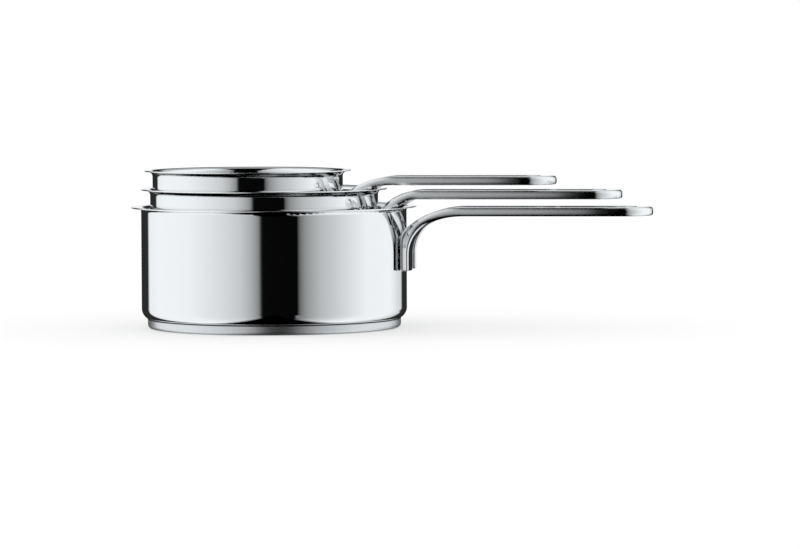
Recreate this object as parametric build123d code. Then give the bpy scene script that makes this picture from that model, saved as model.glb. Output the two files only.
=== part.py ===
from build123d import *
import os
from dataclasses import dataclass
from math import acos, asin, cos, degrees, radians, sin, sqrt

# A set of three stainless steel saucepans that stand nested in each other.
# Frame: millimetres, +Z up, origin at the centre of the large pan's resting face,
# the three handles point along +X.

# Sheet metal of the bowls
sheet = 0.7
large_inner_diameter = 140.0
diameter_step = 20.0
large_height = 64.7
corner_radius = 6.2

# Pouring rim
large_flare = 5.3
medium_flare = 4.9
small_flare = 4.3
flare_slope = 6.0
large_flare_bend = 1.5
medium_flare_bend = 2.6
small_flare_bend = 2.6
rim_edge_round = 0.2

# Heat-spreading base: steel cap round an aluminium disc
cap_sheet = 0.6
core_thickness = 3.7
cap_inset = 3.2
cap_edge_radius = 2.0
cap_seam = 0.1
core_clearance = 0.1

# How the pans stand in each other
medium_rim_step = 9.45
small_rim_step = 9.8
medium_side_gap = 4.1
small_side_gap = 0.5

# Loop handles of flat bar with rounded edges
bar_width = 9.2
bar_thickness = 4.55
bar_edge_radius = 1.2
bar_end_radius = 0.5
loop_spacing = 25.4
large_reach = 202.0
medium_reach = 191.0
small_reach = 165.0
large_handle_drop = 0.45
medium_handle_drop = 0.95
small_handle_drop = 3.3
leg_drop = 33.4

# Bend of each handle: the outside of the bend is its crown, the inside its throat.
# Each turns from the upright leg in a first arc, then sweeps to the level grip.
large_crown_radius = 10.2
large_crown_angle = 47.5
large_crown_sweep = 40.7
large_throat_radius = 18.3
large_throat_angle = 72.0
large_throat_sweep = 51.5
medium_crown_radius = 25.0
medium_crown_angle = 45.0
medium_crown_sweep = 25.0
medium_throat_radius = 24.8
medium_throat_angle = 66.5
medium_throat_sweep = 11.5
small_crown_radius = 12.5
small_crown_angle = 49.5
small_crown_sweep = 41.0
small_throat_radius = 25.0
small_throat_angle = 64.0
small_throat_sweep = 21.0

# Resistance welds that hold a leg to the bowl's wall
weld_height = 0.4
weld_diameter = 3.6
weld_clearance = 0.05
weld_height_shares = (0.28, 0.78)

# How far a cutting or crossing shape runs past what it cuts
overrun = 5.0

core_bottom = cap_sheet
floor_bottom = core_bottom + core_thickness
floor_top = floor_bottom + sheet


@dataclass
class Bend:
    """One side of a bent bar: a first arc off the leg, then a sweep to the level grip."""

    radius: float
    turn: float
    sweep: float

    def leg_top(self, level):
        """Height where the straight leg ends, for a grip that is level at a height."""
        return level - self.sweep + (self.sweep - self.radius) * sin(radians(self.turn))

    def centres(self, edge, level):
        """Centres of the two arcs, for a leg that stands at a radius."""
        swing = self.sweep - self.radius
        first = (edge + self.radius, self.leg_top(level))
        second = (first[0] + swing * cos(radians(self.turn)), level - self.sweep)
        return first, second


@dataclass
class Pan:
    """One saucepan: its own sizes, and where its resting face's centre stands."""

    name: str
    inner_radius: float
    height: float
    flare: float
    flare_bend: float
    reach: float
    handle_drop: float
    crown: Bend
    throat: Bend
    x: float = 0.0
    z: float = 0.0

    @property
    def outer_radius(self):
        return self.inner_radius + sheet

    @property
    def cap_radius(self):
        return self.outer_radius - cap_inset

    @property
    def handle_top(self):
        return self.height - self.handle_drop

    @property
    def leg_bottom(self):
        return self.handle_top - leg_drop

    @property
    def leg_inside(self):
        return self.outer_radius + weld_height

    @property
    def corner_centre(self):
        return (self.outer_radius - corner_radius, floor_bottom + corner_radius)


def nested_pan(
    name, outside, flare, flare_bend, reach, handle_drop, crown, throat, rim_step, side_gap
):
    """A pan one size down, standing on the floor of the pan outside it, off centre."""
    inner_radius = outside.inner_radius - diameter_step / 2
    offset = outside.inner_radius - inner_radius - sheet - side_gap
    return Pan(
        name=name,
        inner_radius=inner_radius,
        height=outside.height + rim_step - floor_top,
        flare=flare,
        flare_bend=flare_bend,
        reach=reach,
        handle_drop=handle_drop,
        crown=crown,
        throat=throat,
        x=outside.x - offset,
        z=outside.z + floor_top,
    )


def turned(profile):
    """A closed profile in radius and height, turned once round the pan's axis."""
    return revolve(profile, axis=Axis.Z)


def bowl(pan):
    """Drawn bowl: flat floor, rounded corner, straight wall and flared pouring rim."""
    outer = pan.outer_radius
    centre = pan.corner_centre
    turn = 90 - flare_slope
    along = (cos(radians(flare_slope)), sin(radians(flare_slope)))
    across = (-along[1], along[0])
    bend_width = pan.flare_bend * (1 - cos(radians(turn)))
    cone = (pan.flare - bend_width) / along[0]
    bend_rise = pan.flare_bend * sin(radians(turn))
    bend_z = pan.height - sheet * across[1] - cone * along[1] - bend_rise
    bend_centre = (outer + pan.flare_bend, bend_z)
    with BuildSketch(Plane.XZ) as profile:
        with BuildLine():
            Line((0, floor_bottom), (centre[0], floor_bottom))
            CenterArc(centre, corner_radius, -90, 90)
            Line((outer, centre[1]), (outer, bend_z))
            under = CenterArc(bend_centre, pan.flare_bend, 180, -turn)
            tip_low = (
                (under @ 1).X + cone * along[0],
                (under @ 1).Y + cone * along[1],
            )
            tip_high = (
                tip_low[0] + sheet * across[0],
                tip_low[1] + sheet * across[1],
            )
            Line(under @ 1, tip_low)
            Line(tip_low, tip_high)
            over = CenterArc(bend_centre, pan.flare_bend + sheet, 180, -turn)
            Line(tip_high, over @ 1)
            Line((outer - sheet, bend_z), (outer - sheet, centre[1]))
            CenterArc(centre, corner_radius - sheet, 0, -90)
            Line((centre[0], floor_top), (0, floor_top))
            Line((0, floor_top), (0, floor_bottom))
        make_face()
        rim_corners = profile.vertices().sort_by(Axis.X)[-2:]
        fillet(rim_corners, radius=rim_edge_round)
    return turned(profile.sketch)


def seat_height(pan, radius):
    """Height of the bowl's rounded corner, one seam below it, at a radius."""
    centre = pan.corner_centre
    swing = corner_radius + cap_seam
    return centre[1] - sqrt(swing**2 - (radius - centre[0]) ** 2)


def base_cap(pan):
    """Steel cap: a shallow dish whose rim ends just under the bowl's corner."""
    outer = pan.cap_radius
    inner = outer - cap_sheet
    centre = pan.corner_centre
    edge_centre = (outer - cap_edge_radius, cap_edge_radius)
    middle = (outer + inner) / 2
    with BuildSketch(Plane.XZ) as profile:
        with BuildLine():
            Line((0, 0), (edge_centre[0], 0))
            CenterArc(edge_centre, cap_edge_radius, -90, 90)
            Line((outer, edge_centre[1]), (outer, seat_height(pan, outer)))
            ThreePointArc(
                (outer, seat_height(pan, outer)),
                (middle, seat_height(pan, middle)),
                (inner, seat_height(pan, inner)),
            )
            Line((inner, seat_height(pan, inner)), (inner, edge_centre[1]))
            CenterArc(edge_centre, cap_edge_radius - cap_sheet, 0, -90)
            Line((edge_centre[0], cap_sheet), (0, cap_sheet))
            Line((0, cap_sheet), (0, 0))
        make_face()
    return turned(profile.sketch)


def base_core(pan):
    """Aluminium disc that fills the cap and spreads the heat."""
    outer = pan.cap_radius - cap_sheet - core_clearance
    edge_radius = cap_edge_radius - cap_sheet + core_clearance
    with BuildSketch(Plane.XZ) as profile:
        with BuildLine():
            Line((0, core_bottom), (outer - edge_radius, core_bottom))
            CenterArc((outer - edge_radius, core_bottom + edge_radius), edge_radius, -90, 90)
            Line((outer, core_bottom + edge_radius), (outer, floor_bottom))
            Line((outer, floor_bottom), (0, floor_bottom))
            Line((0, floor_bottom), (0, core_bottom))
        make_face()
    return turned(profile.sketch)


def handle_strip(pan):
    """Side view of the bent bar: leg up the wall, bend, level grip."""
    inside = pan.leg_inside
    outside = inside + bar_thickness
    above = pan.handle_top
    below = above - bar_thickness
    far = pan.reach + overrun
    with BuildSketch(Plane.XZ) as profile:
        with BuildLine():
            for bend, edge, level in ((pan.crown, inside, above), (pan.throat, outside, below)):
                first, second = bend.centres(edge, level)
                Line((edge, pan.leg_bottom), (edge, first[1]))
                CenterArc(first, bend.radius, 180, -bend.turn)
                CenterArc(second, bend.sweep, 180 - bend.turn, bend.turn - 90)
                Line((second[0], level), (far, level))
            Line((inside, pan.leg_bottom), (outside, pan.leg_bottom))
            Line((far, below), (far, above))
        make_face()
    return profile.sketch


def loop_outline(pan):
    """Plan view of the loop: two straight bars joined by a round end."""
    with BuildSketch() as outline:
        for half_width, mode in (
            ((loop_spacing + bar_width) / 2, Mode.ADD),
            ((loop_spacing - bar_width) / 2, Mode.SUBTRACT),
        ):
            bend_x = pan.reach - (loop_spacing + bar_width) / 2
            with Locations((bend_x / 2, 0)):
                Rectangle(bend_x, 2 * half_width, mode=mode)
            with Locations((bend_x, 0)):
                Circle(half_width, mode=mode)
    return outline.sketch


def handle(pan):
    """Loop handle: both ends follow the curve of the wall that they are welded to."""
    half_width = (loop_spacing + bar_width) / 2
    sector = 2 * degrees(asin(half_width / pan.leg_inside)) + degrees(asin(bar_width / pan.leg_inside))
    strip = revolve(handle_strip(pan), axis=Axis.Z, revolution_arc=sector)
    strip = strip.rotate(Axis.Z, -sector / 2)
    prism = extrude(loop_outline(pan), amount=pan.height + overrun)
    bar = (strip & prism).solids()[0]
    above = pan.leg_bottom + bar_edge_radius
    long_edges = [edge for edge in bar.edges() if edge.bounding_box().max.Z > above]
    bar = fillet(long_edges, radius=bar_edge_radius)
    below = pan.leg_bottom + bar_end_radius
    end_edges = [edge for edge in bar.edges() if edge.bounding_box().max.Z < below]
    return fillet(end_edges, radius=bar_end_radius)


def handle_welds(pan):
    """Flat weld spots between the legs and the wall, two under each leg."""
    inner = pan.outer_radius + weld_clearance
    outer = pan.leg_inside - weld_clearance
    lean = degrees(asin(loop_spacing / 2 / pan.leg_inside))
    leg_length = pan.crown.leg_top(pan.handle_top) - pan.leg_bottom
    spots = []
    for height_share in weld_height_shares:
        z = pan.leg_bottom + height_share * leg_length
        ring = Cylinder(outer, weld_diameter) - Cylinder(inner, weld_diameter)
        for angle in (-lean, lean):
            pin = Cylinder(weld_diameter / 2, overrun).rotate(Axis.Y, 90)
            pin = pin.translate((pan.outer_radius, 0, 0)).rotate(Axis.Z, angle)
            spots.append((ring & pin).translate((0, 0, z)).solids()[0])
    return Compound(children=spots)


large = Pan(
    name="large",
    inner_radius=large_inner_diameter / 2,
    height=large_height,
    flare=large_flare,
    flare_bend=large_flare_bend,
    reach=large_reach,
    handle_drop=large_handle_drop,
    crown=Bend(large_crown_radius, large_crown_angle, large_crown_sweep),
    throat=Bend(large_throat_radius, large_throat_angle, large_throat_sweep),
)
medium = nested_pan(
    name="medium",
    outside=large,
    flare=medium_flare,
    flare_bend=medium_flare_bend,
    reach=medium_reach,
    handle_drop=medium_handle_drop,
    crown=Bend(medium_crown_radius, medium_crown_angle, medium_crown_sweep),
    throat=Bend(medium_throat_radius, medium_throat_angle, medium_throat_sweep),
    rim_step=medium_rim_step,
    side_gap=medium_side_gap,
)
small = nested_pan(
    name="small",
    outside=medium,
    flare=small_flare,
    flare_bend=small_flare_bend,
    reach=small_reach,
    handle_drop=small_handle_drop,
    crown=Bend(small_crown_radius, small_crown_angle, small_crown_sweep),
    throat=Bend(small_throat_radius, small_throat_angle, small_throat_sweep),
    rim_step=small_rim_step,
    side_gap=small_side_gap,
)

os.makedirs("parts", exist_ok=True)
makers = {
    "bowl": bowl,
    "base_core": base_core,
    "base_cap": base_cap,
    "handle": handle,
    "handle_welds": handle_welds,
}
for pan in (large, medium, small):
    for piece, make in makers.items():
        solid = make(pan).translate((pan.x, 0, pan.z))
        export_step(solid, f"parts/{pan.name}_{piece}.step")
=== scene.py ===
import math

import bpy
from mathutils import Matrix, Vector


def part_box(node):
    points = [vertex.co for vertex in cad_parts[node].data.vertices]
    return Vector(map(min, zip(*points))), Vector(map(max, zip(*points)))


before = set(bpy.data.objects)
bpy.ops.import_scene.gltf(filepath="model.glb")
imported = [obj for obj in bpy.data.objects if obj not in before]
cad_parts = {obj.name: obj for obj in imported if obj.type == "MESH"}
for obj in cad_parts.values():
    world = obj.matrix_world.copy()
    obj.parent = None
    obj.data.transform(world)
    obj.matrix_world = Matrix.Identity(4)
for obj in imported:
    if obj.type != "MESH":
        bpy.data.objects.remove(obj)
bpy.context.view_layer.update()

# Camera: the set stands with its handles turned a little towards the viewer
HANDLE_TURN = math.radians(8.2)
CAMERA_DISTANCE = 2.22313
CAMERA_HEIGHT = 0.14975
CAMERA_YAW = math.radians(1.728)
CAMERA_PITCH = math.radians(3.144)
CAMERA_ROLL = math.radians(-0.242)
LENS = 187.75
SENSOR = 36.0
NEAREST_VIEW = 0.01
FARTHEST_VIEW = 50.0

# Studio: light round the set, as stops of angle from the camera, in degrees, and brightness.
# Two tall softboxes stand beside a dark slot that faces the pans. The room behind is dark.
SIDE_STOPS = (
    (-180.0, 0.02),
    (-142.0, 0.03),
    (-138.5, 1.0),
    (-119.0, 1.09),
    (-97.0, 1.08),
    (-79.0, 1.06),
    (-60.0, 0.94),
    (-43.0, 0.83),
    (-30.0, 0.71),
    (-24.4, 0.6),
    (-20.9, 0.525),
    (-17.4, 0.43),
    (-15.6, 0.37),
    (-13.5, 0.29),
    (-12.2, 0.16),
    (-11.0, 0.003),
    (19.8, 0.002),
    (21.6, 0.14),
    (23.5, 0.225),
    (27.0, 0.34),
    (32.4, 0.446),
    (40.6, 0.585),
    (54.8, 0.73),
    (70.0, 0.895),
    (87.0, 1.06),
    (119.0, 1.08),
    (126.0, 1.0),
    (134.0, 0.86),
    (143.8, 0.75),
    (146.8, 0.03),
    (180.0, 0.02),
)
SOFTBOX_COLOUR = (0.97, 0.99, 1.0, 1.0)
# The softboxes start to fade and end where the rise is these multiples of the way to the side
SOFTBOX_TOP = 3.0
SOFTBOX_FADE = 4.4
# They end this much sooner below the horizon
SOFTBOX_FOOT = 1.5
# The way to the side counts as at least this share of a ray
LEAST_SIDE = 0.04
# A backdrop, from its angle round the set and its angle over the horizon, in degrees
BACK_STOPS = (
    (-180.0, 0.95),
    (-166.0, 0.9),
    (-150.0, 0.0),
    (150.0, 0.0),
    (166.0, 0.9),
    (180.0, 0.95),
)
BACK_HEIGHT_STOPS = (
    (-90.0, 0.0),
    (-0.5, 0.0),
    (0.5, 1.0),
    (8.0, 1.0),
    (12.0, 0.0),
    (90.0, 0.0),
)
# A ceiling light over the rear of the room: the shares of a ray that go towards the camera,
# and up, where the light starts and where it is full
CEILING_REAR = (-0.1, -0.4)
CEILING_RISE = (0.38, 0.5)
CEILING_LIGHT = 0.5
# What the floor and the view see instead of these lights
ROOM_COLOUR = (1.0, 1.0, 1.0, 1.0)
ROOM_LIGHT = 1.08

# Floor: it glows a little, so that its shadow stays faint
FLOOR_COLOUR = (0.5, 0.5, 0.5, 1.0)
FLOOR_GLOW_COLOUR = (1.0, 1.0, 1.0, 1.0)
FLOOR_GLOW = 0.47
FLOOR_SIZE = 12.0
FLOOR_DROP = 0.0002

# Radii of softened edges, in metres
BOWL_SOFTNESS = 0.0008
BAR_SOFTNESS = 0.0035
LEG_SOFTNESS = 0.001
EDGE_SAMPLES = 8

# Handles: legs dressed to the wall, long sides bowed by a radius, more so at the loop's end
LEG_TOP = 0.024
LEG_FULL = 0.012
LEG_TURN = 0.17
LEG_LEAN = -0.2
GRIP_MIDDLE = 0.03
GRIP_BOW = 2.8
TIP_LENGTH = 0.036
TIP_BOW = 1.0
HELD_LENGTH = 0.06
HELD_FULL = 0.005

# Colours of the metals, clean and worn
BOWL_COLOUR = (0.82, 0.83, 0.84)
WORN_BOWL = (0.9, 0.9, 0.9)
CAP_COLOUR = (0.7, 0.71, 0.72)
# Dark colour for the rubbed foot of the caps, and for painted shade in the seam under the bowl
WEAR_AND_SHADE = (0.05, 0.05, 0.05)
BAR_COLOUR = (0.86, 0.87, 0.88)
WORN_BAR = (0.92, 0.92, 0.92)
CORE_COLOUR = (0.78, 0.78, 0.79)
CORE_MOTTLE = (0.7, 0.7, 0.71)
STRAW = (0.52, 0.46, 0.36)
BLUE = (0.3, 0.34, 0.46)

# Grain: pitch and length of its lines in metres, and how often they change on the way round
RING_PITCH = 0.0004
RING_SWEEP = 6.0
SCRATCH_PITCH = 0.00015
SCRATCH_SWEEP = 30.0
LATHE_PITCH = 0.0005
LATHE_SWEEP = 3.0
SATIN_PITCH = 0.00012
SATIN_SWEEP = 20.0
DRAWN_PITCH = 0.0004
DRAWN_LENGTH = 0.03
HAIRLINE_PITCH = 0.00018
HAIRLINE_LENGTH = 0.006
GRAIN_DETAIL = 2.0

# Marks: sizes in metres
HAND_MARK = 0.03
WAVE = 0.04
CAP_MARK = 0.012
BAR_MARK = 0.02
PRESS_MARK = 0.004
PRESS_GRAIN = 0.0006
HEAT_MARK = 0.002
WELD_RIPPLE = 0.0005
MARK_DETAIL = 3.0

# Levels of noise where scratches and marks start and where they are full
SCRATCH_LEVELS = (0.62, 0.78)
HAIRLINE_LEVELS = (0.6, 0.75)
HAND_LEVELS = (0.5, 0.75)
WAVE_LEVELS = (0.0, 1.0)
CAP_LEVELS = (0.45, 0.75)
PRESS_LEVELS = (0.3, 0.7)
HEAT_LEVELS = (0.4, 0.65)
RIPPLE_LEVELS = (0.3, 0.7)

# Worn bands, as distances in metres from where they start to where they are full
RIM_WEAR = (0.0007, 0.0002)
FLOOR_SCUFF = (0.0022, 0.0008)
FOOT_RUB = 0.0007
# The seam band is painted shade where the cap meets the bowl, not wear
SEAM_SHADE = (0.0006, 0.0002)

# Roughness of each finish, and what each pattern adds to it where it is full
BOWL_ROUGHNESS = 0.012
BOWL_DULLING = {"rings": 0.02, "marks": 0.02, "scratches": 0.05, "edge": 0.12, "scuffs": 0.1}
CAP_ROUGHNESS = 0.3
CAP_DULLING = {"lines": 0.1, "fine": 0.08, "marks": 0.05, "rub": 0.12}
BAR_ROUGHNESS = 0.02
BAR_DULLING = {"lines": 0.03, "marks": 0.03, "scratches": 0.03, "worn": 0.12}
CORE_ROUGHNESS = 0.34
CORE_DULLING = {"mottle": 0.12, "fine": 0.08}
WELD_ROUGHNESS = 0.3
WELD_DULLING = {"heat": 0.1, "ripples": 0.15}

# Relief: how high each pattern stands, in metres
BOWL_RELIEF = {"rings": 1e-7, "waves": 8e-6}
CAP_RELIEF = {"lines": 1.2e-5, "fine": 3e-6}
BAR_RELIEF = {"lines": 5e-7, "worn": -6e-7}
CORE_RELIEF = {"mottle": 6e-6, "fine": 3e-6}
WELD_RELIEF = {"ripples": 1.5e-5}

# Base caps: how much wear and painted seam shade darken them, and how much their lines spread light
CAP_DARKENING = {"rub": 0.35, "seam_shade": 0.95}
CAP_SPREAD = 0.7
QUARTER_TURN = 0.25

# Sockets of a mix node that carry its colours
MIX_FIRST = 6
MIX_SECOND = 7
MIX_RESULT = 2


def link(tree, source, target):
    tree.links.new(source, target)


def node(tree, kind, **settings):
    """A new node, with properties by name and inputs by socket name or index."""
    made = tree.nodes.new(kind)
    inputs = settings.pop("inputs", {})
    for key, value in settings.items():
        setattr(made, key, value)
    for key, value in inputs.items():
        if isinstance(value, bpy.types.NodeSocket):
            link(tree, value, made.inputs[key])
        else:
            made.inputs[key].default_value = value
    return made


def math_node(tree, operation, first, second=None, third=None):
    inputs = {0: first}
    if second is not None:
        inputs[1] = second
    if third is not None:
        inputs[2] = third
    return node(tree, "ShaderNodeMath", operation=operation, inputs=inputs).outputs[0]


def dot(tree, first, second):
    made = node(tree, "ShaderNodeVectorMath", operation="DOT_PRODUCT", inputs={0: first, 1: second})
    return made.outputs["Value"]


def between(tree, value, start, end):
    """None at a start value, full at an end value, and a straight rise between them."""
    inputs = {"Value": value, "From Min": start, "From Max": end}
    return node(tree, "ShaderNodeMapRange", inputs=inputs).outputs[0]


def total(tree, base, amounts, patterns):
    """A base value, and each pattern times the amount that it adds."""
    value = base
    for name, amount in amounts.items():
        value = math_node(tree, "MULTIPLY_ADD", patterns[name], amount, value)
    return value


def curve(tree, angle, stops):
    """Light by an angle in radians, from stops in degrees."""
    low = stops[0][0]
    high = stops[-1][0]
    ramp = tree.nodes.new("ShaderNodeValToRGB")
    ramp.color_ramp.interpolation = "LINEAR"
    link(tree, between(tree, angle, math.radians(low), math.radians(high)), ramp.inputs[0])
    elements = ramp.color_ramp.elements
    while len(elements) < len(stops):
        elements.new(0.5)
    for element, (degrees, light) in zip(elements, stops):
        element.position = (degrees - low) / (high - low)
    for element, (degrees, light) in zip(elements, stops):
        element.color = (light, light, light, 1.0)
    return ramp.outputs[0]


def softboxes(tree, around, aside, up):
    """Tall lights at both sides, which fade out high up and end sooner below the horizon."""
    side = curve(tree, around, SIDE_STOPS)
    dip = math_node(tree, "MULTIPLY", up, -SOFTBOX_FOOT)
    rise = math_node(tree, "MAXIMUM", up, dip)
    sideways = math_node(tree, "MAXIMUM", math_node(tree, "ABSOLUTE", aside), LEAST_SIDE)
    steepness = math_node(tree, "DIVIDE", rise, sideways)
    fade = between(tree, steepness, SOFTBOX_FADE, SOFTBOX_TOP)
    return math_node(tree, "MULTIPLY", side, fade)


def backdrop(tree, around, up):
    """A low pale wall behind the set."""
    behind = curve(tree, around, BACK_STOPS)
    low = curve(tree, math_node(tree, "ARCSINE", up), BACK_HEIGHT_STOPS)
    return math_node(tree, "MULTIPLY", behind, low)


def ceiling(tree, ahead, up):
    """A soft light over the rear of the room."""
    rear = between(tree, ahead, *CEILING_REAR)
    high = between(tree, up, *CEILING_RISE)
    return math_node(tree, "MULTIPLY", math_node(tree, "MULTIPLY", rear, high), CEILING_LIGHT)


def studio():
    """Lights for the steel to reflect, and an even pale room for the floor and the view."""
    world = bpy.data.worlds.new("studio")
    bpy.context.scene.world = world
    world.use_nodes = True
    world.cycles.sampling_method = "NONE"
    tree = world.node_tree
    tree.nodes.clear()
    direction = tree.nodes.new("ShaderNodeTexCoord").outputs["Generated"]
    ahead = dot(tree, direction, (math.sin(HANDLE_TURN), -math.cos(HANDLE_TURN), 0.0))
    aside = dot(tree, direction, (math.cos(HANDLE_TURN), math.sin(HANDLE_TURN), 0.0))
    up = node(tree, "ShaderNodeSeparateXYZ", inputs={0: direction}).outputs["Z"]
    around = math_node(tree, "ARCTAN2", aside, ahead)
    light = softboxes(tree, around, aside, up)
    light = math_node(tree, "MAXIMUM", light, backdrop(tree, around, up))
    light = math_node(tree, "MAXIMUM", light, ceiling(tree, ahead, up))
    lit = node(tree, "ShaderNodeBackground", inputs={"Color": SOFTBOX_COLOUR, "Strength": light})
    room = node(tree, "ShaderNodeBackground", inputs={"Color": ROOM_COLOUR, "Strength": ROOM_LIGHT})
    path = tree.nodes.new("ShaderNodeLightPath")
    mix = node(tree, "ShaderNodeMixShader", inputs={0: path.outputs["Is Glossy Ray"]})
    link(tree, room.outputs[0], mix.inputs[1])
    link(tree, lit.outputs[0], mix.inputs[2])
    out = tree.nodes.new("ShaderNodeOutputWorld")
    link(tree, mix.outputs[0], out.inputs["Surface"])


def floor():
    """Plain pale floor. The polished steel reflects the studio instead of it."""
    bpy.ops.mesh.primitive_plane_add(size=FLOOR_SIZE, location=(0.0, 0.0, -FLOOR_DROP))
    plane = bpy.context.object
    plane.name = "floor"
    material = bpy.data.materials.new("floor")
    material.use_nodes = True
    shader = material.node_tree.nodes["Principled BSDF"]
    shader.inputs["Base Color"].default_value = FLOOR_COLOUR
    shader.inputs["Roughness"].default_value = 1.0
    shader.inputs["Specular IOR Level"].default_value = 0.0
    shader.inputs["Emission Color"].default_value = FLOOR_GLOW_COLOUR
    shader.inputs["Emission Strength"].default_value = FLOOR_GLOW
    plane.data.materials.append(material)
    plane.visible_glossy = False


def camera():
    forward = Vector(
        (
            math.sin(CAMERA_YAW) * math.cos(CAMERA_PITCH),
            math.cos(CAMERA_YAW) * math.cos(CAMERA_PITCH),
            -math.sin(CAMERA_PITCH),
        )
    )
    side = Vector((math.cos(CAMERA_YAW), -math.sin(CAMERA_YAW), 0.0))
    above = side.cross(forward)
    right = side * math.cos(CAMERA_ROLL) + above * math.sin(CAMERA_ROLL)
    up = above * math.cos(CAMERA_ROLL) - side * math.sin(CAMERA_ROLL)
    turn = Matrix.Rotation(HANDLE_TURN, 4, "Z")
    pose = Matrix((right, up, -forward)).transposed().to_4x4()
    pose.translation = Vector((0.0, -CAMERA_DISTANCE, CAMERA_HEIGHT))
    data = bpy.data.cameras.new("camera")
    data.sensor_fit = "HORIZONTAL"
    data.sensor_width = SENSOR
    data.lens = LENS
    data.clip_start = NEAREST_VIEW
    data.clip_end = FARTHEST_VIEW
    made = bpy.data.objects.new("camera", data)
    made.matrix_world = turn @ pose
    bpy.context.scene.collection.objects.link(made)
    bpy.context.scene.camera = made


def place_on_pan(tree, box):
    """Height, distance from the pan's axis and direction from it, for a round piece's box."""
    low, high = box
    centre = [(lowest + highest) / 2 for lowest, highest in zip(low, high)]
    point = tree.nodes.new("ShaderNodeTexCoord").outputs["Object"]
    axis = (centre[0], centre[1], 0.0)
    offset = node(tree, "ShaderNodeVectorMath", operation="SUBTRACT", inputs={0: point, 1: axis})
    parts = node(tree, "ShaderNodeSeparateXYZ", inputs={0: offset.outputs[0]})
    level = node(tree, "ShaderNodeCombineXYZ", inputs={"X": parts.outputs["X"], "Y": parts.outputs["Y"]})
    distance = node(tree, "ShaderNodeVectorMath", operation="LENGTH", inputs={0: level.outputs[0]})
    around = node(tree, "ShaderNodeVectorMath", operation="NORMALIZE", inputs={0: level.outputs[0]})
    return parts.outputs["Z"], distance.outputs["Value"], around.outputs["Vector"]


def noise(tree, vector, detail, scale=1.0):
    inputs = {"Vector": vector, "Scale": scale, "Detail": detail}
    return node(tree, "ShaderNodeTexNoise", inputs=inputs).outputs["Fac"]


def turned_grain(tree, place, pitch, sweep):
    """Fine lines that run round a pan: a pitch across them, and how often they change on the way round."""
    height, distance, around = place
    across = math_node(tree, "DIVIDE", math_node(tree, "ADD", height, distance), pitch)
    up = node(tree, "ShaderNodeCombineXYZ", inputs={"Z": across}).outputs[0]
    turn = node(tree, "ShaderNodeVectorMath", operation="SCALE", inputs={0: around, "Scale": sweep})
    vector = node(tree, "ShaderNodeVectorMath", operation="ADD", inputs={0: turn.outputs[0], 1: up})
    return noise(tree, vector.outputs[0], GRAIN_DETAIL)


def drawn_grain(tree, pitch, length):
    """Fine lines that run along the handles."""
    point = tree.nodes.new("ShaderNodeTexCoord").outputs["Object"]
    scale = (1.0 / length, 1.0 / pitch, 1.0 / pitch)
    vector = node(tree, "ShaderNodeVectorMath", operation="MULTIPLY", inputs={0: point, 1: scale})
    return noise(tree, vector.outputs[0], GRAIN_DETAIL)


def blotches(tree, size, levels):
    """Soft patches, between the levels of noise where they start and where they are full."""
    point = tree.nodes.new("ShaderNodeTexCoord").outputs["Object"]
    return between(tree, noise(tree, point, MARK_DETAIL, 1.0 / size), *levels)


def metal(name, colour):
    material = bpy.data.materials.new(name)
    material.use_nodes = True
    tree = material.node_tree
    shader = tree.nodes["Principled BSDF"]
    shader.inputs["Base Color"].default_value = (*colour, 1.0)
    shader.inputs["Metallic"].default_value = 1.0
    return material, tree, shader


def tint(tree, shader, share, colour, other):
    """Blends a base colour towards another by a share."""
    mix = node(tree, "ShaderNodeMix", data_type="RGBA")
    link(tree, share, mix.inputs[0])
    mix.inputs[MIX_FIRST].default_value = (*colour, 1.0)
    mix.inputs[MIX_SECOND].default_value = (*other, 1.0)
    link(tree, mix.outputs[MIX_RESULT], shader.inputs["Base Color"])


def roughen(tree, shader, roughness, relief, edge_softness=None):
    """Sets the roughness, and a relief in metres as bump, over edges rounded by a radius."""
    link(tree, roughness, shader.inputs["Roughness"])
    bump = node(tree, "ShaderNodeBump", inputs={"Strength": 1.0, "Distance": 1.0, "Height": relief})
    if edge_softness is not None:
        soft = node(tree, "ShaderNodeBevel", samples=EDGE_SAMPLES, inputs={"Radius": edge_softness})
        link(tree, soft.outputs[0], bump.inputs["Normal"])
    link(tree, bump.outputs[0], shader.inputs["Normal"])


def polished_steel(pan):
    """Mirror-polished bowl: faint rings, hand marks, a worn rim edge and a scuffed floor."""
    material, tree, shader = metal(f"polished_steel_{pan}", BOWL_COLOUR)
    low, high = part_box(f"{pan}_bowl")
    place = place_on_pan(tree, (low, high))
    height, distance, _ = place
    rim = (high[0] - low[0]) / 2
    scratches = turned_grain(tree, place, SCRATCH_PITCH, SCRATCH_SWEEP)
    patterns = {
        "rings": turned_grain(tree, place, RING_PITCH, RING_SWEEP),
        "scratches": between(tree, scratches, *SCRATCH_LEVELS),
        "marks": blotches(tree, HAND_MARK, HAND_LEVELS),
        "waves": blotches(tree, WAVE, WAVE_LEVELS),
        "edge": between(tree, distance, rim - RIM_WEAR[0], rim - RIM_WEAR[1]),
        "scuffs": between(tree, height, low[2] + FLOOR_SCUFF[0], low[2] + FLOOR_SCUFF[1]),
    }
    roughness = total(tree, BOWL_ROUGHNESS, BOWL_DULLING, patterns)
    relief = total(tree, 0.0, BOWL_RELIEF, patterns)
    tint(tree, shader, patterns["edge"], BOWL_COLOUR, WORN_BOWL)
    roughen(tree, shader, roughness, relief, BOWL_SOFTNESS)
    return material


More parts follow.
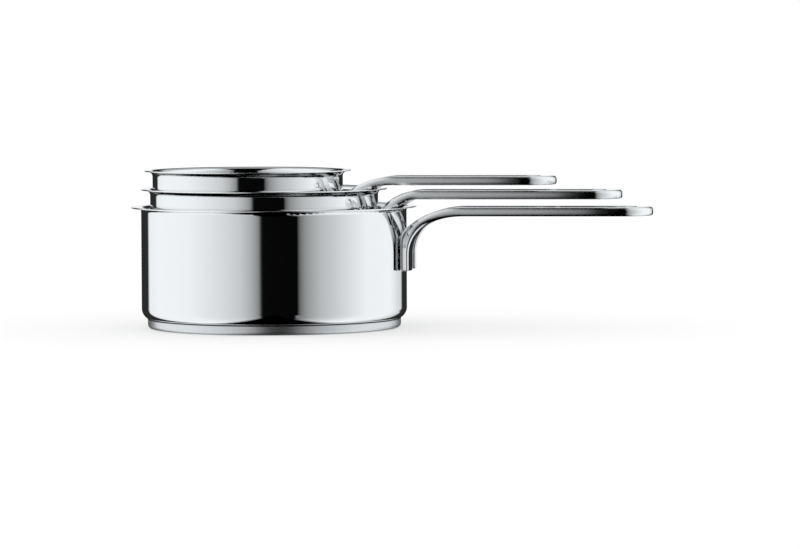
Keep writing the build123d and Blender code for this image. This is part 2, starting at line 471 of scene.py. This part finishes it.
def satin_steel(pan):
    """Base cap turned in circles: rubbed where it rests, with painted shade in the seam under the bowl."""
    material, tree, shader = metal(f"satin_steel_{pan}", CAP_COLOUR)
    low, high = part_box(f"{pan}_base_cap")
    place = place_on_pan(tree, (low, high))
    height = place[0]
    patterns = {
        "lines": turned_grain(tree, place, LATHE_PITCH, LATHE_SWEEP),
        "fine": turned_grain(tree, place, SATIN_PITCH, SATIN_SWEEP),
        "marks": blotches(tree, CAP_MARK, CAP_LEVELS),
        "rub": between(tree, height, low[2] + FOOT_RUB, low[2]),
        # Painted shade: a dark band at the cap's top, where it meets the bowl
        "seam_shade": between(tree, height, high[2] - SEAM_SHADE[0], high[2] - SEAM_SHADE[1]),
    }
    roughness = total(tree, CAP_ROUGHNESS, CAP_DULLING, patterns)
    relief = total(tree, 0.0, CAP_RELIEF, patterns)
    shader.inputs["Anisotropic"].default_value = CAP_SPREAD
    shader.inputs["Anisotropic Rotation"].default_value = QUARTER_TURN
    tangent = node(tree, "ShaderNodeTangent", direction_type="RADIAL", axis="Z")
    link(tree, tangent.outputs[0], shader.inputs["Tangent"])
    # Base colour darkened by wear at the rubbed foot and by painted shade in the seam
    tint(tree, shader, total(tree, 0.0, CAP_DARKENING, patterns), CAP_COLOUR, WEAR_AND_SHADE)
    roughen(tree, shader, roughness, relief)
    return material


def leg_relief(tree, parts, leg, low):
    """Relief that turns the legs' narrow sides to the wall and their wide sides away."""
    out = math_node(tree, "SUBTRACT", parts.outputs["X"], low[0])
    turned = math_node(tree, "MULTIPLY", out, LEG_TURN)
    leaned = math_node(tree, "MULTIPLY_ADD", parts.outputs["Y"], LEG_LEAN, turned)
    return math_node(tree, "MULTIPLY", leg, leaned)


def bow(tree, distance, radius):
    """How far a side of this radius has fallen at a distance from its highest place."""
    return math_node(tree, "MULTIPLY", math_node(tree, "POWER", distance, 2.0), -0.5 / radius)


def grip_relief(tree, along, high):
    """Relief that bows the long sides, and more so towards the loop's end."""
    middle = math_node(tree, "SUBTRACT", along, high[0] - GRIP_MIDDLE)
    past = math_node(tree, "SUBTRACT", along, high[0] - TIP_LENGTH)
    tip = math_node(tree, "MAXIMUM", past, 0.0)
    return math_node(tree, "ADD", bow(tree, middle, GRIP_BOW), bow(tree, tip, TIP_BOW))


def handle_steel(pan):
    """Polished bar with faint lines along it, and hairline scratches where it hangs and is held."""
    material, tree, shader = metal(f"handle_steel_{pan}", BAR_COLOUR)
    low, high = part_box(f"{pan}_handle")
    point = tree.nodes.new("ShaderNodeTexCoord").outputs["Object"]
    parts = node(tree, "ShaderNodeSeparateXYZ", inputs={0: point})
    along = parts.outputs["X"]
    leg = between(tree, parts.outputs["Z"], low[2] + LEG_TOP, low[2] + LEG_FULL)
    held = between(tree, along, high[0] - HELD_LENGTH, high[0] - HELD_FULL)
    hairlines = drawn_grain(tree, HAIRLINE_PITCH, HAIRLINE_LENGTH)
    scratches = between(tree, hairlines, *HAIRLINE_LEVELS)
    patterns = {
        "lines": drawn_grain(tree, DRAWN_PITCH, DRAWN_LENGTH),
        "marks": blotches(tree, BAR_MARK, HAND_LEVELS),
        "scratches": scratches,
        "worn": math_node(tree, "MULTIPLY", scratches, held),
    }
    roughness = total(tree, BAR_ROUGHNESS, BAR_DULLING, patterns)
    relief = total(tree, leg_relief(tree, parts, leg, low), BAR_RELIEF, patterns)
    relief = math_node(tree, "ADD", relief, grip_relief(tree, along, high))
    softness = math_node(tree, "MULTIPLY_ADD", leg, LEG_SOFTNESS - BAR_SOFTNESS, BAR_SOFTNESS)
    tint(tree, shader, patterns["worn"], BAR_COLOUR, WORN_BAR)
    roughen(tree, shader, roughness, relief, softness)
    return material


def core_aluminium(pan):
    """Pressed aluminium disc: matt, mottled, with the marks of the press."""
    material, tree, shader = metal(f"core_aluminium_{pan}", CORE_COLOUR)
    patterns = {
        "mottle": blotches(tree, PRESS_MARK, PRESS_LEVELS),
        "fine": blotches(tree, PRESS_GRAIN, PRESS_LEVELS),
    }
    roughness = total(tree, CORE_ROUGHNESS, CORE_DULLING, patterns)
    relief = total(tree, 0.0, CORE_RELIEF, patterns)
    tint(tree, shader, patterns["mottle"], CORE_COLOUR, CORE_MOTTLE)
    roughen(tree, shader, roughness, relief)
    return material


def weld_steel(pan):
    """Resistance weld spots, straw to blue where they were hot."""
    material, tree, shader = metal(f"weld_steel_{pan}", STRAW)
    patterns = {
        "heat": blotches(tree, HEAT_MARK, HEAT_LEVELS),
        "ripples": blotches(tree, WELD_RIPPLE, RIPPLE_LEVELS),
    }
    roughness = total(tree, WELD_ROUGHNESS, WELD_DULLING, patterns)
    relief = total(tree, 0.0, WELD_RELIEF, patterns)
    tint(tree, shader, patterns["heat"], STRAW, BLUE)
    roughen(tree, shader, roughness, relief)
    return material


def dress():
    """Gives every piece the finish of its kind."""
    finishes = {
        "bowl": polished_steel,
        "handle": handle_steel,
        "base_cap": satin_steel,
        "base_core": core_aluminium,
        "handle_welds": weld_steel,
    }
    for name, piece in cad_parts.items():
        pan, kind = name.split("_", 1)
        piece.data.materials.clear()
        piece.data.materials.append(finishes[kind](pan))


dress()
studio()
floor()
camera()
bpy.context.scene.view_settings.view_transform = "Standard"
